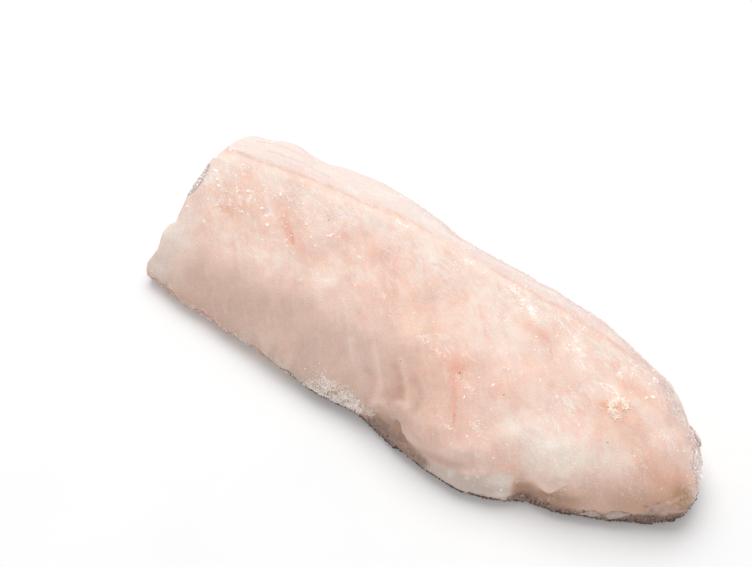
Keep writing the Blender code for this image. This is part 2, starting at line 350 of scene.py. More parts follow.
def side_edges(p):
    """The edges that stand out over the recess and the hollow, in mm."""
    x, y, z = p.T
    stand = np.zeros(len(p))
    for line, low_x, high_x in ((RECESS, -6, 36), (HOLLOW, 51.5, 77)):
        height = z - line_at(line, x) - frayed(p)
        here = ramp(x, low_x, low_x + 5) * ramp(high_x - x, 0, 14) * (y < -16)
        soft = 0.5 + 1 * ramp(9 - x, 0, 4) + 1.2 * ramp(x, 12, 20) * (x < 45)
        soft += 1.8 * (ramp(60.5 - x, 0, 4) + ramp(x, 63, 70)) * (x > 45)
        stand += 0.42 * here * np.exp(-(height / 3.2) ** 2) * np.tanh(height / soft)
    return stand


def relief(p, n):
    """How far each point stands out of the smooth form, in mm."""
    x, y, z = p.T
    across, seam_on = seam_distance(p), seam_fade(p, n)
    up = ramp(n[:, 2], 0.2, 0.8)
    stand = 0.1 * layered(p, 9, 11) + 0.045 * layered(p, 2.4, 21)
    stand += 0.03 * up * fibres(p, -45, 9, 1.6, 25) * ramp(30 - x, 0, 30)
    stand -= 0.07 * seam_on * np.exp(-(across / 0.6) ** 2)
    stand += 0.03 * seam_on * np.exp(-((across + 1.9) / 1.2) ** 2)
    for depth, half, points in GROOVES:
        stand -= depth * up * stroke(x, y, points, half)
    stand += side_edges(p)
    stand += crumbly(p) * (1.1 * crust_grit(p) - 0.15) + 0.55 * knobs(p)
    stand -= foot(p) * (0.45 - 0.35 * layered(p, 1.7, 53, 2)) * ramp(z, 0.5, 2)
    stand += 0.45 * rim(p, n) * layered(p, 2, 51, 2)
    bumpy = ramp(x, 50, 85) * ramp(y - 2, 0, 9) * ramp(0.85 - n[:, 2], 0, 0.3)
    stand += 0.42 * bumpy * layered(p, 2, 61, 2)
    stand -= 1.5 * end_lobes(p)[2] + 0.35 * cut_glaze(p)
    return stand * ramp(z, 0.05, 0.9)


def set_coords(mesh, p):
    """Points in mm put on the mesh, kept inside the loin's box."""
    mesh.vertices.foreach_set("co", (np.clip(p, LOW, HIGH) * MM).ravel())
    mesh.update()


def flat_foot(mesh):
    """The underside made flat again and held by few faces."""
    p, n = coords(mesh), normals(mesh)
    under = (p[:, 2] < 0.35) & (n[:, 2] < -0.6)
    p[under, 2] = 0.0
    set_coords(mesh, p)
    work = bmesh.new()
    work.from_mesh(mesh)
    faces = [f for f in work.faces if all(v.co.z < 1e-7 for v in f.verts)]
    bmesh.ops.dissolve_faces(work, faces=faces)
    bmesh.ops.triangulate(work, faces=work.faces)
    work.to_mesh(mesh)
    work.free()
    mesh.update()


def carve(mesh):
    """The fine relief, the uneven edge of the cut end and the flat underside."""
    p, n = coords(mesh), normals(mesh)
    p = p + n * relief(p, n)[:, None]
    p[:, 0] += line_at(END_EDGE, p[:, 1]) * ramp(-95 - p[:, 0], 0, 4) * ramp(p[:, 2], 2, 8)
    set_coords(mesh, p)
    flat_foot(mesh)
    mesh.polygons.foreach_set("use_smooth", [True] * len(mesh.polygons))


flesh = remeshed(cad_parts[NODE])
carve(flesh.data)
p, n = coords(flesh.data), normals(flesh.data)
tri = corners(flesh.data)


# ---- the flesh's colours: soft patches, veins and bands laid on the form, among them painted shade and painted highlights ----
# Colours are 0-255 display values; places and sizes are in mm.

FLESH = (251, 218, 202)
# painted shade for the near edge of the top and the near side
CORNER = (241, 227, 218)
NEAR_EDGE_SHADE = (217, 187, 172)
STRIP = (247, 228, 220)
# painted shade for the back where it turns down
BACK_SHADE = (230, 208, 198)
BLUSH = (247, 203, 185)
PINK = (243, 188, 168)
RED = (226, 142, 120)
CREAM = (255, 233, 221)
BRIGHT = (255, 236, 223)
YELLOW = (250, 211, 186)
WHITE = (255, 245, 239)
LOBED = (214, 197, 185)
# painted shade for the recess and the hollow
RECESS_SHADE = (186, 148, 127)
# painted shade for the undercut
UNDERCUT_SHADE = (198, 150, 126)
# painted shade for the foot
DARK = (146, 119, 107)
ICY = (228, 197, 188)
OLIVE = (180, 138, 98)
EDGE = (234, 202, 192)
TAIL = (234, 186, 162)
# painted shade for the crescent grooves
CRESCENT_SHADE = (206, 164, 146)
# painted shade for the faces that turn in under the foot
UNDERSIDE_SHADE = (124, 97, 84)
PATCHES = (
    # colour, strength, x, y, half x, half y, turn
    (CORNER, 0.95, -99, -18, 9, 18, 10), ((248, 230, 218), 0.7, -96, 10, 6, 12, 0),
    ((238, 192, 165), 0.8, -84.5, 0.8, 8, 4.5, 0), (BLUSH, 0.8, -61.5, 2, 7, 3.8, -25),
    (PINK, 0.7, -58.5, 0.6, 2.6, 1.4, -40), (BLUSH, 0.3, -38, 11, 7, 5, 0),
    (BLUSH, 0.9, -28, 8, 11, 5, -10), (PINK, 0.55, -24, 8.5, 8, 3.5, -10),
    (PINK, 0.3, -36, 4, 3, 2.5, 0), (BLUSH, 0.55, -20, 13, 12, 3.5, 0),
    (BLUSH, 0.45, -14, -3.5, 5, 3.5, -30), (YELLOW, 0.95, -2.5, -7.2, 6, 3.5, -15),
    (BLUSH, 0.55, 10, -7.5, 8, 4, -20), (BLUSH, 0.85, 17, -13, 9, 5.5, -15),
    ((238, 162, 134), 0.95, 15.4, -13, 3.8, 3, -20), (BLUSH, 0.75, 22.5, -23, 5, 9, 35),
    (BLUSH, 0.5, 37, -27, 4, 4.5, 20), (BLUSH, 0.55, 26, -30, 9, 4, 10),
    (BLUSH, 0.55, 10, -20, 16, 11, -20), ((230, 194, 176), 0.55, 22, -28, 9, 7, 0),
    # on the next line, the (214, 180, 162) patch is painted shade low on the near side
    (BLUSH, 0.38, -55, 2, 36, 8, -5), ((214, 180, 162), 0.45, -65, -26.5, 18, 4.5, 0),
    (PINK, 0.6, 55, 20.5, 9, 1.8, -3), (PINK, 0.55, 58.8, 13.5, 2.6, 2.2, 0),
    (PINK, 0.5, 67, 8.5, 5, 2.2, -15), ((240, 188, 162), 0.6, 74, 9, 6, 2.4, 5),
    # on the next line, the (204, 160, 140) patch is painted shade around the crescents
    (PINK, 0.45, -4, 16, 4, 2.6, 0), ((204, 160, 140), 0.8, 3.5, -27, 5.5, 7.5, 0),
    (BLUSH, 0.45, 34, -5, 6, 4, 0), (BLUSH, 0.5, 34, 10.5, 8, 3.5, -15),
    (BLUSH, 0.55, 84, 9.5, 6, 5, -40), (BLUSH, 0.8, 69, -3, 6, 3, -10), (EDGE, 0.8, 64, 23, 13, 4, -10),
    (EDGE, 0.8, 82, 15, 11, 5, -38), (BLUSH, 0.55, 76, 11, 10, 4, -25),
    (TAIL, 0.55, 86, -10, 10, 4, -20), (TAIL, 0.75, 95, -10, 8, 7, -25),
    (CREAM, 0.55, 24, 4, 9, 6.5, 0), (CREAM, 0.5, 46, -8, 7, 5, 0), (CREAM, 0.4, 58, 5, 6, 5, 0),
    (BRIGHT, 0.95, 60, -22, 15, 6, 12), (BRIGHT, 0.6, 47, -20, 8, 6, 0),
    (CREAM, 0.6, 76, -15, 6, 4.5, -10), (YELLOW, 0.6, -63, 19.2, 5, 1.2, 10),
    (CREAM, 0.5, -43, -7, 9, 2.5, 15), (CREAM, 0.35, -2, 12, 5, 9, 0),
    ((240, 172, 134), 0.75, 64.2, -1.3, 1.8, 1.8, 0), ((242, 186, 152), 0.7, 71.6, -1, 2.6, 1.8, 0),
    ((236, 184, 148), 0.8, 68.2, 0.3, 1.3, 1.2, 0), (OLIVE, 0.9, 98.8, -10.3, 3, 3.2, 0),
)
VEINS = (
    # colour, strength, half width, points
    (PINK, 0.4, 1.8, ((28, 10.5), (33, 10), (37, 9.5), (40, 6.5))),
    (RED, 0.4, 0.3, ((34, 10), (36.5, 9.8), (38.5, 8.5), (41, 4.5))),
    (RED, 0.3, 0.35, ((10.5, 9), (15.5, 4.5), (18.5, 0.5))),
    (PINK, 0.4, 0.5, ((18.5, 0.5), (20.5, 0.2))),
    ((236, 168, 146), 0.7, 1.1, ((17.5, -17), (19.5, -19.5), (21.2, -22.5), (22.8, -25.5))),
    ((232, 140, 108), 0.6, 0.38, ((22.5, -25), (24.2, -27.2), (26.5, -31.5))),
    ((242, 182, 156), 0.55, 1.5, ((-69.5, 7), (-66, 5), (-61.5, 2.5), (-58.5, 0))),
    ((230, 150, 120), 0.75, 0.45, ((-60, 1.8), (-58.5, 0.2), (-57, -1.2))),
    ((226, 196, 188), 0.45, 0.4, CREASE),
    (WHITE, 0.22, 0.4, ((-29, -11), (-23, -18), (-18.5, -23.5))),
    (WHITE, 0.18, 0.42, ((-16.5, -14), (-11, -20), (-6.5, -25))),
    (CREAM, 0.22, 1.5, ((-20.5, -20.5), (-14.5, -26.5), (-10.5, -29.5))),
    (CREAM, 0.28, 1.4, ((-11, -20), (-6.5, -25), (-3, -29.5), (-2, -33.5))),
    (CREAM, 0.4, 1.1, ((-2, -18.5), (2, -22.5), (6, -26.5), (9, -31.5))),
    (CREAM, 0.3, 1.2, ((-2.5, -35), (1, -33), (4.5, -31.5), (8.5, -30.5))),
    # painted shade in the crescent grooves
    (CRESCENT_SHADE, 0.65, 1.2, CRESCENTS[0]),
    (CRESCENT_SHADE, 0.6, 1.2, CRESCENTS[1]),
    (CRESCENT_SHADE, 0.35, 1.3, CRESCENTS[2]),
    (WHITE, 0.8, 0.45, ((-98, 19.2), (-94.6, 20))),
)
TRAILS = (
    # strength, half width, points: wisps of frost
    (0.6, 1, ((5.5, 21.5), (10, 19.5), (14.5, 20.5), (18.5, 19.5), (22, 17.5))),
    (0.8, 1.3, ((22, 18), (25.5, 16.5), (28, 14.5))),
    (0.6, 0.8, ((26, 15.5), (30.5, 13.5))), (0.5, 1.2, ((29, 17.5), (35, 18.3), (42, 16))),
    (0.75, 0.5, ((39.5, 17), (42, 16), (45, 14))),
    (0.75, 0.35, ((18.5, 10.5), (21, 9.5), (24, 7))), (0.6, 0.3, ((24.5, 7.5), (26.5, 8))),
    (0.95, 0.4, ((41, 11.5), (44, 10))), (0.8, 0.6, ((46, 12), (49.5, 10.5))),
    (0.8, 0.7, ((48.5, 9.5), (52, 7))), (0.65, 0.3, ((61.5, 12), (64, 10.5))),
    (0.6, 1.1, ((-9, 22.5), (-4, 20.5), (0, 21.2))), (0.6, 0.9, ((-31, 22.3), (-26, 22))),
    (0.42, 1, ((1, -8.5), (7.5, -11.5), (11, -13))),
    (0.36, 1.2, ((17.5, -16.5), (21, -16), (26, -19))),
    (0.9, 0.5, ((-98, 19.3), (-95, 20))),
)
FROSTED = (
    # x, y, half length, half width, turn, strength
    (50, 8, 4, 1.8, -30, 0.6), (43, -21, 5.5, 2.4, -5, 0.66), (33, -27.5, 4, 1.4, -15, 0.65),
    (60, -20, 6, 3, -20, 0.44), (57, -24.5, 3.5, 2.2, 0, 0.42), (48, 12.4, 4.5, 1.5, -35, 0.5),
    (24, -31, 5, 1.2, -20, 0.5), (-19, 21, 3, 1.2, -5, 0.65), (-46.5, 15.5, 3, 1.2, -20, 0.5),
    (-34, 5.5, 1.8, 1, 0, 0.65), (-24.5, -0.5, 2.4, 1.4, 0, 0.5), (-19, -2.5, 2, 1.4, 0, 0.55),
    (-13, -7.5, 3, 2, -20, 0.5), (-42, -7, 5, 1.6, 10, 0.45), (-48, -10.5, 1.6, 1, 0, 0.6),
    (-71, 4.5, 2.2, 1.4, -10, 0.8), (-64, 18.5, 4, 0.9, 10, 0.6), (-90, 12, 6, 3, 10, 0.5),
    (-97, 7, 3, 5, 0, 0.55), (-19.5, -35, 5, 1.3, -15, 0.55), (76, 2.5, 4.5, 1.6, 0, 0.5),
    (86, 2, 5, 3, 0, 0.5), (64, 15, 5, 2.5, -20, 0.5), (80, 13, 4, 3, -40, 0.4),
)


class Coats:
    """A colour for each point; each call lays a coat over what is there already."""

    def __init__(self, base, count):
        self.colour = np.tile(linear(*base), (count, 1))

    def __call__(self, target, amount):
        amount = np.clip(amount, 0, 1)[:, None]
        self.colour = self.colour * (1 - amount) + linear(*target) * amount

    def shade(self, amount):
        self.colour = self.colour * (1 + amount)[:, None]


def upward(n):
    """How far each point faces up, from 0 to 1."""
    return ramp(n[:, 2], 0.05, 0.5)


def paint_top(lay, p, n):
    """The top: mottled flesh, painted shade towards the near edge, patches, veins and threads."""
    x, y, _ = p.T
    top = upward(n)
    calm = 1 - 0.7 * ramp(-10 - y, 0, 8) * ramp(20 - x, 0, 20)
    mottle = layered(p, 9, 71, 3, 0.6)
    lay(BLUSH, 0.75 * ramp(mottle, 0, 0.6) * top * calm)
    lay(CREAM, 0.6 * ramp(-mottle, 0, 0.6) * top * calm)
    drift = fibres(p, -24, 7, 2.6, 121) + 0.7 * fibres(p, -30, 3.5, 1.2, 123)
    lay(PINK, 0.3 * ramp(drift, 0.1, 1) * top * calm)
    lay(CREAM, 0.4 * ramp(-drift, 0.1, 1) * top * calm)
    lay(BLUSH, 0.34 * ramp(12 - y, 0, 18) * ramp(x, -70, 20) * top)
    lay(CREAM, 0.3 * ramp(y, 10, 17) * top)
    # painted shade: the top darkens towards the near edge, where it turns away from the light
    edge_shade = ramp(-y - 3 * ramp(-45 - x, 0, 15), 5, 23) * ramp(32 - x, 0, 26)
    lay(NEAR_EDGE_SHADE, edge_shade * (0.95 + 0.25 * layered(p, 10, 73, 2)))
    for target, strength, at_x, at_y, half_x, half_y, turn in PATCHES:
        uneven = 0.85 + 0.5 * layered(p, 4, int(100 + abs(at_x)), 2)
        lay(target, strength * uneven * spot(p, at_x, at_y, half_x, half_y, turn) * top)
    for target, strength, half, points in VEINS:
        uneven = 0.8 + 0.5 * noise(p, 1.6, int(200 + abs(points[0][0]))) * (half < 1)
        lay(target, strength * uneven * stroke(x, y, points, half) * top)
    lay.shade(0.15 * layered(p, 7, 131, 3, 0.7) * (0.5 + 0.5 * calm * top))
    threads = fibres(p, -50, 7, 0.9, 75) + 0.6 * fibres(p, -40, 4, 0.6, 77)
    lay(WHITE, 0.16 * ramp(threads, 0.25, 1) * top * (0.4 + 0.6 * calm))
    lay(PINK, 0.14 * ramp(-threads, 0.25, 1) * top * (0.4 + 0.6 * calm))


def paint_seam(lay, p, across, seam_on):
    """The seam: a fine broken line, browner on the left, with a painted highlight on the pale ridge
    beside it and painted shade along SEAM_SHADE.
    """
    x, y, _ = p.T
    wavy = ramp(noise(p, 5, 85) + 0.5 * noise(p, 1.5, 86), -0.6, 0.4)
    left = ramp(-42 - x, 0, 14)
    strength = (0.1 + 0.42 * left) * np.clip(wavy + 0.4 * left, 0, 1)
    # the CREAM line is a painted highlight on the ridge beside the seam
    lines = (((222, 184, 166), strength, 0, 0.5),
             ((236, 200, 182), 0.35 * left * wavy, 1.6, 0.5),
             ((238, 190, 156), 0.5 * (1 - left) * wavy, 0.25, 0.3),
             (CREAM, 0.3 * wavy, 2.2, 0.9))
    for target, amount, before, half in lines:
        lay(target, amount * np.exp(-((across + before) / half) ** 2) * seam_on)
    # painted shade along the seam
    lay((236, 194, 174), 0.55 * stroke(x, y, SEAM_SHADE, 1))


def paint_strip(lay, p, n):
    """The pale strip behind the seam, with painted shade where it turns down at the back."""
    x, y, _ = p.T
    across, seam_on = seam_distance(p), seam_fade(p, n)
    strip = 0.95 * ramp(across, -0.1, 1.1) * seam_on
    lay(STRIP, strip)
    lay((238, 215, 206), 0.45 * strip * ramp(x, -25, 5))
    veined = fibres(p, 6, 11, 1.3, 79)
    lay(PINK, 0.2 * ramp(veined, 0.2, 0.9) * strip)
    lay(WHITE, 0.3 * ramp(-veined, 0.3, 0.9) * strip)
    flatness = 0.88 + 0.09 * ramp(x, -50, -10)
    # painted shade where the strip turns down at the back
    lay(BACK_SHADE, 0.75 * ramp(flatness - n[:, 2], 0, 0.4) * ramp(y, 8, 16))
    behind = ramp(y, 12, 20) * ramp(0.7 - n[:, 2], 0, 0.4)
    banded = layered(p * np.array([0.3, 1, 1]), 3, 141, 3)
    lay(BLUSH, 0.45 * behind * ramp(banded, 0, 0.7))
    lay(CREAM, 0.45 * behind * ramp(-banded, 0, 0.7))
    paint_seam(lay, p, across, seam_on)
    for points in FOLDS:
        lay((236, 202, 194), 0.55 * strip * stroke(x, y, points, 0.45))
    icy = ramp(x, 50, 74) * ramp(0.96 - n[:, 2], 0, 0.28) * ramp(y, 0, 8)
    lay(ICY, 0.85 * icy)


def below(line, p):
    """How far below an edge line of the near side each point lies, in mm."""
    return line_at(line, p[:, 0]) + frayed(p) - p[:, 2]


def paint_undercut(lay, p, n):
    """The near side left of the recess: painted shade low on the side, pale knobs, and the undercut in
    painted shade with a painted highlight on its lip.
    """
    x, y, z = p.T
    # painted shade: darker on faces that turn down the near side, and low on the side
    lay(NEAR_EDGE_SHADE, 0.5 * ramp(0.75 - n[:, 2], 0, 0.5) * (y < -12) * ramp(2 - x, 0, 20))
    edge_shade = ramp(11 - z, 0, 4) * ramp(-8 - x, 0, 20) * ramp(x, -70, -40)
    lay((204, 178, 163), 0.8 * edge_shade * (y < NEAR_SIDE))
    lay((236, 220, 207), 0.6 * knobs(p))
    aside, under, right = ramp(-n[:, 1], 0.15, 0.5), foot(p), ramp(x, -50, -36)
    # painted shade in the undercut
    lay(UNDERCUT_SHADE, (0.72 + 0.18 * right) * under * aside)
    # painted highlight along the undercut's lip
    lip = ramp(under, 0, 0.1) * ramp(0.5 - under, 0, 0.4) * aside
    lay((240, 222, 210), 0.65 * lip * ramp(noise(p, 3, 47), -0.4, 0.3))
    # deeper painted shade in the undercut's right part
    lay((150, 120, 104), 0.75 * under * right * aside)


def paint_recess(lay, p):
    """The recess in painted shade, darker towards its foot, and a painted shadow line along SHADE;
    returns where it is.
    """
    x, y, z = p.T
    near = y < NEAR_SIDE
    sharp = 0.8 + 3.2 * ramp(9 - x, 0, 3) + 2.6 * ramp(x, 11, 17)
    start = ramp(x + 2.5 * noise(p, 3, 48) - 0.4 * (z - 8), -7, 1)
    recess = ramp(below(RECESS, p) / sharp + 0.4, 0, 1.2) * start * ramp(30 - x, 0, 8) * near
    # painted shade in the recess, deepest at its foot, and a painted shadow line along SHADE
    lay(RECESS_SHADE, 0.9 * recess)
    lay((206, 172, 148), 0.6 * recess * ramp(8 - x, 0, 6) * ramp(z, 8.5, 11))
    lay((160, 134, 123), 0.85 * recess * ramp(11.5 - z, 0, 3.5))
    lay((188, 154, 137), 0.5 * stroke(x, z, SHADE, 1.7) * ramp(42 - x, 0, 12) * near)
    return recess


def paint_lobe(lay, p):
    """The pale lobe between the recess and the hollow, with a painted highlight near its top and
    painted shade at its foot; returns where it is.
    """
    x, y, z = p.T
    near = y < NEAR_SIDE
    lobe = ramp(x, 21.5, 25) * ramp(51.6 - x, 0, 1.8) * near
    lobe *= ramp(line_at(LOBE, x) - z + 0.5 * frayed(p), -0.6, 1.8)
    lay(LOBED, 0.9 * lobe)
    # painted highlight near the lobe's top; painted shade at its foot
    lay((250, 230, 217), 0.8 * lobe * ramp(x, 40, 46) * ramp(z, 8.5, 12))
    lay((180, 162, 149), 0.8 * lobe * ramp(5.5 - z, 0, 3.5) * ramp(48 - x, 0, 12))
    for spot_x, spot_z, wide in ((31.7, 9.6, 1.3), (37.2, 10.2, 0.7), (48.5, 7.5, 1.8)):
        away = (x - spot_x) ** 2 + (z - spot_z) ** 2
        lay((248, 234, 226), 0.6 * np.exp(-away / wide ** 2) * near)
    return lobe


def paint_hollow(lay, p, lobe):
    """Painted shade in the hollow between the lobe and the tip, darker low down."""
    x, y, z = p.T
    soft = 1 + 4 * ramp(60.5 - x, 0, 4) + 4 * ramp(x, 63, 71)
    under = ramp(below(HOLLOW, p) / soft, -0.3, 1.3) * (1 - lobe) * (y < NEAR_SIDE)
    under *= ramp(x, 50, 52.5) * ramp(82 - x, 0, 12) * (1 - 0.4 * ramp(x, 64, 74))
    # painted shade in the hollow, deepest low down
    lay((222, 184, 162), 0.9 * under)
    lay(RECESS_SHADE, 0.95 * under * ramp(14.5 - z, 0, 4) * ramp(82 - x, 0, 14))


def paint_tail(lay, p, n):
    """Painted shade on the flanks of the tail end, darkest where the tip turns under."""
    x, y, z = p.T
    tail = ramp(x, 66, 88) * ramp(22 - z, 0, 9) * ramp(-4 - y, 0, 5)
    # painted shade on the flanks, darkest where the tip turns under
    lay((210, 168, 142), 0.85 * tail)
    flank = ramp(0.62 - n[:, 2], 0, 0.4) * ramp(x, 88, 95) * ramp(9 - y, 0, 5)
    lay((206, 176, 162), 0.8 * flank)
    steep = ramp(0.3 - n[:, 2] + 0.2 * noise(p, 1.3, 88), 0, 0.3)
    lay((150, 122, 110), 0.85 * steep * flank)


def paint_dark_foot(lay, p, n, lobe):
    """Painted shade on the foot and on the faces that turn in below it; returns where they are."""
    x, y, z = p.T
    # painted shade on the foot, lighter on the lobe
    dark_rim = rim(p, n) * (1 - 0.4 * lobe - 0.45 * lobe * ramp(z, 1.2, 3))
    lay(DARK, 0.88 * dark_rim)
    # painted shade on the faces that turn in below the foot
    outward = np.maximum(ramp(-n[:, 1], 0.2, 0.5), ramp(n[:, 0], 0.3, 0.6) * ramp(9 - y, 0, 9))
    inward = ramp(-0.02 - n[:, 2] + 0.3 * layered(p, 1.8, 89, 2), 0, 0.35) * (z < 8) * outward
    lay(UNDERSIDE_SHADE, (0.4 + 0.45 * ramp(x, -38, -24)) * (1 - 0.6 * lobe) * inward)
    # deeper painted shade on the foot at the tip
    lay((98, 74, 64), 0.45 * dark_rim * ramp(x, 82, 92) * ramp(-8 - y, 0, 5))
    lay(OLIVE, 0.7 * spot(p, 99, -10, 2.2, 2.6) * ramp(z, 9, 12))
    return np.maximum(dark_rim, inward)


def paint_side(lay, p, n):
    """The near side, with painted highlights along the edges of the recess and the hollow; returns how
    gritty its dark parts are.
    """
    x, y, z = p.T
    paint_undercut(lay, p, n)
    recess = paint_recess(lay, p)
    lobe = paint_lobe(lay, p)
    paint_hollow(lay, p, lobe)
    paint_tail(lay, p, n)
    dark_foot = paint_dark_foot(lay, p, n, lobe)
    # painted highlights along the edges of the recess and the hollow
    edge = np.exp(-(below(RECESS, p) / 0.5) ** 2) * ramp(x, -4, 2) * ramp(22 - x, 0, 8)
    ledge = np.exp(-(below(HOLLOW, p) / 0.5) ** 2) * ramp(x, 54, 57) * ramp(70 - x, 0, 5)
    glint = np.maximum(0.4 * edge, ledge) * (y < NEAR_SIDE)
    lay(WHITE, 0.55 * glint * ramp(noise(p, 1.5, 87), -0.2, 0.5))
    return np.maximum(recess * ramp(11.5 - z, 0, 3), dark_foot)


def paint_ends(lay, p, n):
    """Ice, crust and marks at the crumbly stretch, the cut end and the tip, with painted shade in the
    flesh round the ice lobes.
    """
    x, y, z = p.T
    crust = crumbly(p)
    lay((200, 180, 166), 0.7 * crust)
    patchy = 0.45 + 0.55 * ramp(layered(p, 5, 49, 2) - 0.03 * (x + 16), -0.3, 0.4)
    crisp = ramp(crust_grit(p), 0.02, 0.22) * ramp(z, 3, 6)
    lay((255, 244, 234), 0.95 * crust * patchy * crisp)
    for rusty in ((90.7, -17.8, 12.5), (93.6, -15.6, 13.9)):
        lay((176, 96, 72), 0.6 * lump(p, rusty, 0.707))
    scratch = stroke(x, z, ((93.5, 13.2), (95.5, 14), (98, 14.8)), 0.6) * (y < -8)
    lay((228, 196, 176), 0.6 * scratch)
    cut = ramp(-99.3 - x, 0, 1.4) * ramp(-n[:, 0], 0.4, 0.8)
    lay((212, 198, 190), 0.75 * cut)
    lay(BLUSH, 0.45 * cut * ramp(layered(p, 7, 97, 3), -0.2, 0.9))
    lay((196, 184, 181), 0.75 * cut_glaze(p))
    coat = end_lobes(p)[2]
    # painted shade in the flesh round the ice lobes
    lay((200, 170, 158), 0.6 * ramp(coat, 0, 0.5))
    lay((224, 210, 204), 0.85 * ramp(coat, 0.6, 1))


def frost_cover(p, n):
    """How frosted each point is: a patchy skin, the frosted places and the wisps."""
    x, y, _ = p.T
    cover = 0.3 + 0.22 * layered(p, 13, 95, 2) + 0.1 * ramp(6 - np.abs(y - 16), 0, 5)
    cover *= 1 - 0.8 * ramp(-8 - y, 0, 8) * ramp(36 - x, 0, 20)
    for at_x, at_y, half_x, half_y, turn, strength in FROSTED:
        cover = np.maximum(cover, strength * spot(p, at_x, at_y, half_x, half_y, turn))
    for strength, half, points in TRAILS:
        cover = np.maximum(cover, strength * stroke(x, y, points, half))
    return cover * np.maximum(upward(n), 0.75 * ramp(y, 0, 10))


coats = Coats(FLESH, len(p))
paint_top(coats, p, n)
paint_strip(coats, p, n)
gritty = paint_side(coats, p, n)
paint_ends(coats, p, n)

layer = flesh.data.color_attributes.new("tint", "FLOAT_COLOR", "POINT")
rgba = np.concatenate([coats.colour, np.ones((len(p), 1))], axis=1)
layer.data.foreach_set("color", rgba.astype(np.float32).ravel())
for name, values in (("frost", frost_cover(p, n)), ("grit", np.maximum(gritty, crumbly(p)))):
    layer = flesh.data.attributes.new(name, "FLOAT", "POINT")
    layer.data.foreach_set("value", values.astype(np.float32))


# ---- materials ----

class Nodes:
    """A node material in the making; an input takes a value or another node's output."""

    def __init__(self, name):
        self.material = bpy.data.materials.new(name)
        self.material.use_nodes = True
        self.tree = self.material.node_tree
        self.shader = self.tree.nodes["Principled BSDF"]

    def put(self, socket, value):
        if isinstance(value, bpy.types.NodeSocket):
            self.tree.links.new(value, socket)
        else:
            socket.default_value = value

    def fill(self, node, inputs):
        for key, value in inputs.items():
            self.put(node.inputs[key], value)

    def add(self, kind, inputs):
        node = self.tree.nodes.new("ShaderNode" + kind)
        self.fill(node, inputs)
        return node

    def mapped(self, source, low, high, to_low, to_high):
        return self.add("MapRange", {"Value": source, "From Min": low, "From Max": high,
                                     "To Min": to_low, "To Max": to_high}).outputs["Result"]

    def noise(self, scale, detail, roughness=0.5, turn=0, drawn=1):
        """Noise in the object's own space, drawn out along a direction seen from above."""
        lean = self.add("Mapping", {})
        lean.vector_type = "TEXTURE"
        self.fill(lean, {"Vector": self.add("TexCoord", {}).outputs["Object"],
                         "Rotation": (0, 0, radians(turn)), "Scale": (drawn, 1, 1)})
        node = self.add("TexNoise", {"Vector": lean.outputs["Vector"], "Scale": scale,
                                     "Detail": detail, "Roughness": roughness})
        return node.outputs["Fac"]

    def bumped(self, height, strength, distance):
        bump = self.add("Bump", {"Height": height, "Strength": strength, "Distance": distance})
        self.fill(self.shader, {"Normal": bump.outputs["Normal"]})

    def attribute(self, name, output):
        node = self.add("Attribute", {})
        node.attribute_name = name
        return node.outputs[output]

    def maths(self, operation, *values):
        node = self.add("Math", {})
        node.operation = operation
        for socket, value in zip(node.inputs, values):
            self.put(socket, value)
        return node.outputs["Value"]

    def mixed(self, factor, first, second):
        """A colour between two; each is an output or a linear colour."""
        node = self.add("Mix", {})
        node.data_type = "RGBA"
        self.fill(node, {"Factor": factor})
        colours = [socket for socket in node.inputs if socket.type == "RGBA"]
        for socket, value in zip(colours, (first, second)):
            self.put(socket, (*value, 1) if isinstance(value, np.ndarray) else value)
        return next(o for o in node.outputs if o.type == "RGBA")


def flesh_material():
    """Frozen fish: mottled flesh under a thin skin of wispy and granular frost."""
    made = Nodes("frozen_flesh")
    fine = made.noise(1900, 5, 0.7)
    coarse = made.mapped(made.noise(800, 5, 0.8), 0.38, 0.62, -0.26, 0.26)
    rough = made.maths("MULTIPLY", coarse, made.attribute("grit", "Fac"))
    speckle = made.maths("MULTIPLY_ADD", fine, 0.5, 0.75)
    tone = made.add("VectorMath", {})
    tone.operation = "SCALE"
    made.put(tone.inputs[0], made.attribute("tint", "Color"))
    made.put(tone.inputs["Scale"], made.maths("ADD", speckle, rough))
    threads = made.mapped(made.noise(750, 6, 0.75, -22, 2.6), 0.36, 0.64, 0, 0.6)
    granules = made.mapped(made.noise(1500, 5, 0.8), 0.36, 0.64, 0, 0.4)
    reach = made.maths("ADD", threads, granules)
    reach = made.maths("MULTIPLY_ADD", made.attribute("frost", "Fac"), 0.95, reach)
    amount = made.mapped(reach, 0.86, 1.36, 0, 0.92)
    made.bumped(made.noise(1900, 3), 0.45, 0.00025)
    made.fill(made.shader, {
        "Base Color": made.mixed(amount, tone.outputs["Vector"], linear(*WHITE)),
        "Roughness": made.mapped(fine, 0.35, 0.65, 0.34, 0.66),
        "Subsurface Weight": 0.35, "Subsurface Radius": (1, 0.45, 0.3),
        "Subsurface Scale": 0.003, "IOR": 1.38, "Specular IOR Level": 0.4})
    return made.material


def ice_material(name, colour, transmission, roughness, painted_glow, scale=900):
    """Clouded ice or frost; its emission is a painted glow that stands in for light inside the ice."""
    colour = linear(*colour)
    made = Nodes(name)
    cloud = made.noise(scale, 4)
    contrast = made.mapped(cloud, 0.35, 0.65, 0, 1)
    made.bumped(cloud, 0.5, 0.0002)
    made.fill(made.shader, {
        "Base Color": made.mixed(contrast, colour * 0.76, colour), "Roughness": roughness,
        "Transmission Weight": transmission, "IOR": 1.31,
        "Emission Color": (*colour, 1), "Emission Strength": painted_glow})
    return made.material


def speck_material():
    made = Nodes("dark_bits")
    tone = made.add("ValToRGB", {"Fac": made.noise(2500, 2)})
    tone.color_ramp.elements[0].color = (0.05, 0.035, 0.025, 1)
    tone.color_ramp.elements[1].color = (0.16, 0.1, 0.07, 1)
    made.fill(made.shader, {"Base Color": tone.outputs["Color"], "Roughness": 0.6})
    return made.material


frozen = flesh_material()
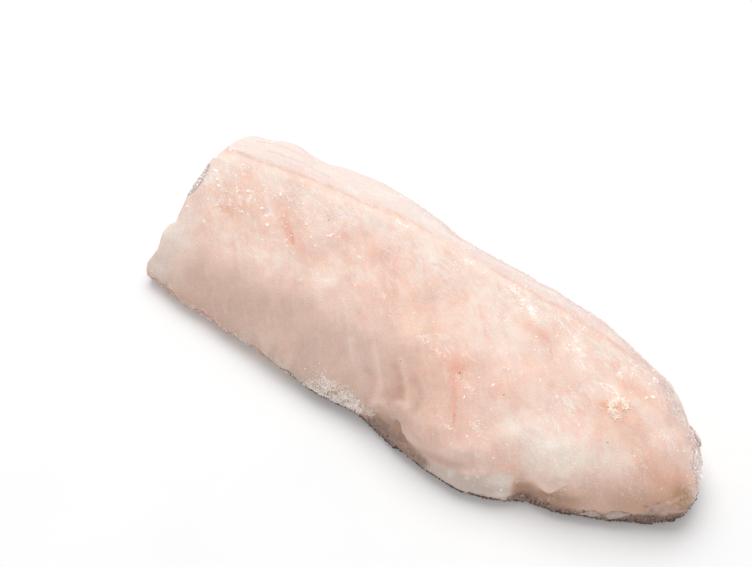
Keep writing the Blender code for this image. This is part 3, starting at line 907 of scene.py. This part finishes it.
# the emission given to these materials is painted light, a glow that keeps ice and frost bright on
# shaded faces
frost = ice_material("frost", (255, 253, 252), 0, 0.22, 0.35)
rime = ice_material("rime", (247, 236, 230), 0, 0.25, 0.16)
dull = ice_material("dull_frost", (226, 212, 205), 0, 0.3, 0.05)
grimy = ice_material("grimy_frost", (206, 184, 175), 0, 0.35, 0)
dark_frost = ice_material("dark_frost", (128, 102, 92), 0, 0.45, 0)
glaze = ice_material("glaze", (242, 222, 214), 0.2, 0.15, 0.1, 1500)
lens = ice_material("lens", (232, 215, 209), 0.2, 0.15, 0.08, 1500)
curd = ice_material("crust", (253, 235, 221), 0, 0.4, 0.2)
dark = speck_material()
flesh.data.materials.clear()
flesh.data.materials.append(frozen)
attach(flesh, "root")
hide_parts(NODE)


# ---- ice and frost ----

# how many grains each kind has
SPECKS_MORE, FINE_GRAINS, RIME_GRAINS, SPARKLES = 320, 1800, 7500, 800
FOOT_GRAINS, FOOT_CRUMBS, CRUST_CRUMBS, CRUST_CRYSTALS = 3600, 4200, 950, 46
tree = BVHTree.FromPolygons((p * MM).tolist(), tri.tolist())


def on_top(x, y):
    """The point of the flesh under (x, y) and its facing, in mm."""
    hit, facing, *_ = tree.ray_cast(Vector((x * MM, y * MM, 0.05)), Vector((0, 0, -1)))
    return np.array(hit) / MM, np.array(facing)


def nearest(x, y, z):
    hit, facing, *_ = tree.find_nearest(Vector((x * MM, y * MM, z * MM)))
    return np.array(hit) / MM, np.array(facing)


def set_down(rows):
    """Places on top, their facings and sizes, from rows of x, y and size."""
    places, facing = zip(*(on_top(x, y) for x, y, _ in rows))
    return np.array(places), np.array(facing), np.array([size for _, _, size in rows])


def scatter(count, density, seed):
    """Random places on the flesh, more of them where the density is higher."""
    rng = seeded(seed)
    a, b, c = p[tri[:, 0]], p[tri[:, 1]], p[tri[:, 2]]
    area = np.linalg.norm(np.cross(b - a, c - a), axis=1)
    weight = area * density[tri].mean(axis=1)
    pick = rng.choice(len(tri), count, p=weight / weight.sum())
    u, v = rng.random(count), rng.random(count)
    over = u + v > 1
    u[over], v[over] = 1 - u[over], 1 - v[over]
    places = a[pick] + u[:, None] * (b - a)[pick] + v[:, None] * (c - a)[pick]
    return places, n[tri[pick, 0]]


def strewn(count, density, small, large, seed, size_seed):
    """Random places, their facings and sizes."""
    places, facing = scatter(count, density, seed)
    return places, facing, seeded(size_seed).uniform(small, large, count)


def ice_coat(name, mask, height, material, sink=0.35):
    """A closed skin of ice over the part of the flesh where the mask is not 0."""
    keep = (mask[tri] > 0.03).all(axis=1)
    used, index = np.unique(tri[keep], return_inverse=True)
    faces = index.reshape(-1, 3)
    rise = height[used] * mask[used] - 0.15 * (1 - mask[used]) ** 2
    outer = p[used] + n[used] * rise[:, None]
    inner = p[used] - n[used] * sink
    count = len(used)
    edges = np.concatenate([faces[:, [0, 1]], faces[:, [1, 2]], faces[:, [2, 0]]]).tolist()
    seen = {(a, b) for a, b in edges}
    wall = [(b, a, a + count, b + count) for a, b in edges if (b, a) not in seen]
    shell = faces.tolist() + (faces[:, ::-1] + count).tolist() + wall
    smooth = [True] * (2 * len(faces)) + [False] * len(wall)
    link_mesh(name, np.concatenate([outer, inner]), shell, material, smooth)


FLAKES = (
    # x, lower and upper height: irregular flakes of ice low on the side
    ((79.8, 5.4, 7), (81.5, 3.6, 9.3), (84, 4.4, 9.8), (87.5, 7.6, 8.4)),
    ((72.5, 5, 5.8), (74, 3.6, 7.2), (76.5, 3.4, 8.2), (79.4, 5.2, 6.2)),
)


def flake_mask():
    """Where the flakes low on the side lie."""
    x, _, z = p.T
    mask = np.zeros(len(p))
    for flake in FLAKES:
        at, low, high = np.array(flake).T
        inside = np.minimum(z - np.interp(x, at, low, left=99, right=99),
                            np.interp(x, at, high, left=-99, right=-99) - z)
        mask = np.maximum(mask, ramp(inside + 0.3 * frayed(p), 0, 1.2))
    return mask * ramp(-n[:, 1], 0.1, 0.6) * (z > 1)


def lay_coats():
    """Skins of ice: on the two lobes, on the cut end and low on the side."""
    first, second, coat = end_lobes(p)
    thick = np.where(first > second, 2.5, 1.7) + 0.35 * layered(p, 1.6, 311, 2)
    ice_coat("end_glaze", coat, thick, glaze)
    ice_coat("cut_glaze", cut_glaze(p), 0.45 + 0.2 * layered(p, 1.2, 321, 2), lens)
    ice_coat("side_flakes", flake_mask(), 0.45 + 0.15 * layered(p, 1.4, 331, 2), grimy)


SPECKS = (
    # x, y, radius: the larger crystals on the top, each a few shards
    (-97, 9, 0.55), (-94.5, 6, 0.45), (-92.5, 4.5, 0.5), (-89, 4, 0.4), (-85.5, 6, 0.45),
    (-86.5, 6.5, 0.35), (-82, 7.5, 0.5), (-80, 6, 0.4), (-80, 5, 0.4), (-80, 1, 0.4),
    (-89, -1.5, 0.42), (-90, -8, 0.38), (-77, 10.5, 0.36), (-71.5, 12, 0.5), (-74.5, 5, 0.46),
    (-71.5, 3, 0.4), (-69, 0.5, 0.48), (-60, -1, 0.34), (-59.5, 1, 0.34), (-57, 6.5, 0.46),
    (-52.5, 3, 0.5), (-47.5, 7, 0.4), (-98.5, -6.5, 0.4), (30, -6.5, 0.42), (31.5, -6, 0.34),
    (36, -5, 0.4), (44, 19.5, 0.48), (49, 20.5, 0.4), (58, -9, 0.4), (25, -13.5, 0.4),
    (63, 18, 0.38), (65.5, 17.5, 0.38), (66, 14, 0.34), (72, 14, 0.38), (69, 7.5, 0.38),
    (74, 9, 0.38),
)


def shards(places, facing, sizes, seed, each=4):
    """Several small shards for each place, so that no crystal is a plain grain."""
    rng = seeded(seed)
    pick = np.repeat(np.arange(len(places)), each)
    aside = rng.normal(0, 0.55, (len(pick), 3)) * sizes[pick, None]
    return places[pick] + aside, facing[pick], sizes[pick] * rng.uniform(0.45, 0.95, len(pick))


def lay_specks():
    """The larger crystals that show, and more of their kind around them."""
    x, y, _ = p.T
    top = ramp(n[:, 2], 0.6, 0.9) * (0.15 + ramp(layered(p, 14, 405, 2), -0.1, 0.4))
    top *= np.maximum(ramp(y, -10, 2), ramp(x, 18, 40))
    top += 2 * spot(p, -76, 6, 20, 9)
    more = strewn(SPECKS_MORE, top, 0.12, 0.27, 403, 401)
    both = [np.concatenate(pair) for pair in zip(set_down(SPECKS), more)]
    grains("frost_specks", *shards(*both, 409), 407, frost, 0.4)


def lay_frost():
    """Fine frost lying in patches on the top and along the ridges."""
    density = np.zeros(len(p))
    for x, y, half_x, half_y, turn, strength in FROSTED:
        density += 0.5 * strength * spot(p, x, y, half_x, half_y, turn)
    for strength, half, points in TRAILS:
        density += 1.5 * strength * stroke(p[:, 0], p[:, 1], points, half)
    density *= ramp(fibres(p, -22, 3, 0.9, 91), -0.3, 0.5) * ramp(n[:, 2], 0.2, 0.6)
    grains("fine_frost", *strewn(FINE_GRAINS, density, 0.06, 0.19, 411, 413), 415, frost, 0.2)


def lay_rime():
    """Coarser rime: crumbly stretch, tip, back edge and the skirt of the near side."""
    x, y, z = p.T
    drift = noise(p, 4, 429)
    crust = 6 * crumbly(p) * ramp(z, 3.5, 6.5)
    tip = 4.5 * ramp(x, 66, 80) * ramp(0.9 - n[:, 2], 0, 0.4) * ramp(y + 9, 0, 10)
    tip *= ramp(z + 2.5 * drift, 3, 9)
    back = ramp(y, 17, 22) * ramp(x, -36, -16) * ramp(80 - x, 0, 20)
    back *= 1.8 * ramp(0.8 - n[:, 2], 0, 0.4) * ramp(z + 2 * drift, 14, 24)
    skirt = 0.7 * ramp(7.5 - z, 0, 2) * (z > 1) * ramp(-n[:, 1], 0.2, 0.5) * ramp(-24 - x, 0, 8)
    density = (crust + tip + back + skirt) * (0.3 + ramp(noise(p, 2.2, 421), -0.2, 0.6))
    places, facing, sizes = strewn(RIME_GRAINS, density, 0.09, 0.28, 423, 425)
    sizes *= 1 + 0.5 * (places[:, 1] > 20)
    grains("edge_rime", places, facing, sizes, 427, rime, 0.3)


def lay_sparkle():
    """Bright grains caught on the outside of the ice at both ends."""
    density = 3 * cut_glaze(p) + 2.2 * end_lobes(p)[2] * (p[:, 2] > 5)
    places, facing, sizes = strewn(SPARKLES, density, 0.08, 0.26, 445, 447)
    places += facing * np.where(places[:, 0] < 0, 0.5, 1.5)[:, None]
    grains("sparkle", places, facing, sizes, 449, frost, 0.2)


def lay_foot_grains():
    """Dull grains of frost on the shaded foot and in the recess; dark crumbs below, which also stand in
    for shade along the bottom edge.
    """
    x, y, z = p.T
    low = 1.6 * rim(p, n) + 0.9 * foot(p) + 1.5 * crumbly(p) * ramp(6 - z, 0, 3)
    spread = 0.3 + ramp(noise(p, 2.5, 435), -0.3, 0.6)
    frosty = strewn(FOOT_GRAINS, low * spread, 0.07, 0.21, 437, 439)
    grains("foot_frost", *frosty, 441, dull, 0.3)
    # dark crumbs along the bottom edge, which also stand in for the shade there
    edge = 0.1 * rim(p, n) + ramp(-n[:, 2] - 0.15, 0, 0.3) * ramp(x, -36, -24)
    edge *= (z > 0.3) * (z < 8) * ramp(6 - y, 0, 6)
    crumbs = strewn(FOOT_CRUMBS, edge * spread, 0.12, 0.42, 451, 453)
    grains("foot_crumbs", *crumbs, 455, dark_frost, 0.3)


CRUST = np.array([(70.8, 1.6), (69.4, 3.1), (67.4, 3.5), (65.9, 2.6), (65.8, 0.8), (66.4, -0.8),
                  (68, -2), (70.2, -2.2)])


def lay_crust():
    """The crusty bit near the tip: a crumbly heap that curls round a hollow."""
    rng = seeded(431)
    heap = []
    for _ in range(CRUST_CRUMBS):
        t = rng.uniform(0, len(CRUST) - 1.001)
        k, f = int(t), t % 1.0
        x, y = CRUST[k] * (1 - f) + CRUST[k + 1] * f + rng.normal(0, 0.7, 2)
        at, out = on_top(x, y)
        away = abs(x - 68.2) + abs(y - 0.4)
        height = rng.uniform(0, 0.6) * exp(-(away / 4.5) ** 2)
        heap.append((at + out * height, out, rng.uniform(0.1, 0.3)))
    places, facing, sizes = (np.array(part) for part in zip(*heap))
    grains("crusty_bit", places, facing, sizes, 433, curd, 0.3, ico)
    some = rng.choice(CRUST_CRUMBS, CRUST_CRYSTALS, replace=False)
    grains("crust_crystals", places[some] + facing[some] * 0.3, facing[some],
           rng.uniform(0.1, 0.26, CRUST_CRYSTALS), 443, frost, 0.4)


CHIPS = (
    # x, y, z or None for the top, length, width, turn in degrees
    (24, -21, None, 1.2, 0.4, 15), (30, -13, None, 1.5, 0.6, -30),
    (75.5, 10.5, None, 1.7, 1.1, -20), (-100, 13, None, 2, 0.7, 70),
    (-97.5, 18.5, None, 1.4, 0.6, 20), (-44.5, 39, 19.5, 2.4, 1.2, 10),
    (42, -4, None, 1, 0.4, 30), (45.5, 11, None, 1.4, 0.4, -40),
    (43.5, 12, None, 1.2, 0.4, -40), (72, 17.5, None, 0.8, 0.6, 0),
    (48, -36, 9, 1, 0.4, 0),
)


def lay_chips():
    """Flat chips of ice lying on the flesh."""
    base, faces = ico()
    rng = seeded(441)
    verts, index = [], []
    for k, (x, y, z, length, width, turn) in enumerate(CHIPS):
        at, out = on_top(x, y) if z is None else nearest(x, y, z)
        lean = Vector(out).to_track_quat("Z", "X").to_matrix()
        size = np.array([length, width, 0.45 * width]) / 2
        shape = base * (1 + rng.uniform(-0.25, 0.2, (len(base), 1))) * size
        spun = shape @ np.array(Matrix.Rotation(-radians(turn), 3, "Z"))
        verts.append(spun @ np.array(lean).T + at + out * 0.12 * width)
        index.append(faces + len(base) * k)
    link_mesh("ice_chips", np.concatenate(verts), np.concatenate(index), frost)


def tube(points, radius, sides=7):
    """A closed ring of ice along the points."""
    points = np.array(points)
    count = len(points)
    verts, faces = [], []
    for k in range(count):
        ahead = points[(k + 1) % count] - points[k - 1]
        across = np.cross(ahead, (0, 0, 1))
        across /= np.linalg.norm(across)
        up = np.cross(across, ahead / np.linalg.norm(ahead))
        here, after = k * sides, (k + 1) % count * sides
        for s in range(sides):
            a = 2 * pi * s / sides
            verts.append(points[k] + radius * (cos(a) * across + sin(a) * up))
            beside = (s + 1) % sides
            faces.append((here + s, here + beside, after + beside, after + s))
    return np.array(verts), faces


RINGS = (
    # x, y, half x, half y, turn in degrees, radius of the ring's thickness
    (62.6, 4.9, 3.5, 0.95, -3, 0.11), (72.9, 16.9, 0.75, 0.65, 0, 0.14),
    (49.5, -6, 0.5, 0.4, 0, 0.09), (70, 21, 0.4, 0.35, 0, 0.09),
)
RING_POINTS = 36


def lay_rings():
    """Thin raised rings of clear ice: a long lens and a few small bubbles."""
    verts, faces = [], []
    for x, y, half_x, half_y, turn, radius in RINGS:
        ring = []
        a = radians(turn)
        for k in range(RING_POINTS):
            t = 2 * pi * k / RING_POINTS
            u, v = half_x * cos(t), half_y * sin(t)
            if half_x > 2:
                v *= abs(sin(t)) ** (3 if u > 0 else 1)
            at, out = on_top(x + u * cos(a) - v * sin(a), y + u * sin(a) + v * cos(a))
            ring.append(at + out * radius * 0.4)
        more, quads = tube(ring, radius)
        start = sum(len(v) for v in verts)
        verts.append(more)
        faces += [tuple(i + start for i in q) for q in quads]
    link_mesh("ice_rings", np.concatenate(verts), faces, frost, True)


DARK_BITS = (
    # x, y, radius
    (-51, 11.5, 0.24), (-1.7, -19.2, 0.22), (18.3, -14.6, 0.3), (34.7, -14.1, 0.24),
    (71.4, -11.1, 0.2), (-3, -7.3, 0.13), (18.8, -23, 0.13),
)

lay_coats()
lay_specks()
lay_frost()
lay_rime()
lay_sparkle()
lay_foot_grains()
lay_crust()
lay_chips()
lay_rings()
grains("dark_bits", *set_down(DARK_BITS), 451, dark, 0.1, ico)


# ---- floor, light and camera ----

def make_floor():
    made = Nodes("floor")
    tone = made.mapped(made.noise(20, 2), 0.3, 0.7, 0.92, 0.94)
    grey = made.add("CombineColor", {"Red": tone, "Green": tone, "Blue": tone})
    made.fill(made.shader, {
        "Base Color": grey.outputs["Color"], "Roughness": 0.9, "Specular IOR Level": 0.1,
        "Emission Color": (1, 1, 1, 1), "Emission Strength": 0.1})
    mesh = bpy.data.meshes.new("floor")
    half = 3.0
    mesh.from_pydata([(-half, -half, 0), (half, -half, 0), (half, half, 0), (-half, half, 0)],
                     [], [(0, 1, 2, 3)])
    mesh.materials.append(made.material)
    obj = linked("floor", mesh)


def area_light(name, place, size, power):
    light = bpy.data.lights.new(name, "AREA")
    light.shape = "SQUARE"
    light.size = size
    light.energy = power
    obj = linked(name, light)
    obj.location = place
    obj.rotation_mode = "QUATERNION"
    obj.rotation_quaternion = (-Vector(place)).to_track_quat("-Z", "Y")


def make_world():
    world = bpy.data.worlds.new("world")
    bpy.context.scene.world = world
    world.use_nodes = True
    background = world.node_tree.nodes["Background"]
    background.inputs["Color"].default_value = (1, 1, 1, 1)
    background.inputs["Strength"].default_value = 0.52
    bpy.context.scene.view_settings.view_transform = "Standard"


def make_camera():
    """The photograph's camera, fitted to the loin's outline."""
    data = bpy.data.cameras.new("camera")
    data.lens = 100.0
    data.sensor_width = 36.0
    obj = linked("camera", data)
    elevation, azimuth, roll = radians(55), radians(34), radians(-0.287)
    aim, distance = Vector((-0.028706, 0.006742, 0.012)), 0.7115
    out = cos(elevation)
    back = Vector((out * sin(azimuth), -out * cos(azimuth), sin(elevation)))
    flat = Vector((0, 0, 1)).cross(back).normalized()
    above = back.cross(flat)
    right = cos(roll) * flat + sin(roll) * above
    up = -sin(roll) * flat + cos(roll) * above
    place = Matrix((right, up, back)).transposed().to_4x4()
    place.translation = aim + back * distance
    obj.matrix_world = place
    bpy.context.scene.camera = obj


make_floor()
area_light("key", (-0.35, 0.49, 1.26), 1.3, 12.8)
make_world()
make_camera()
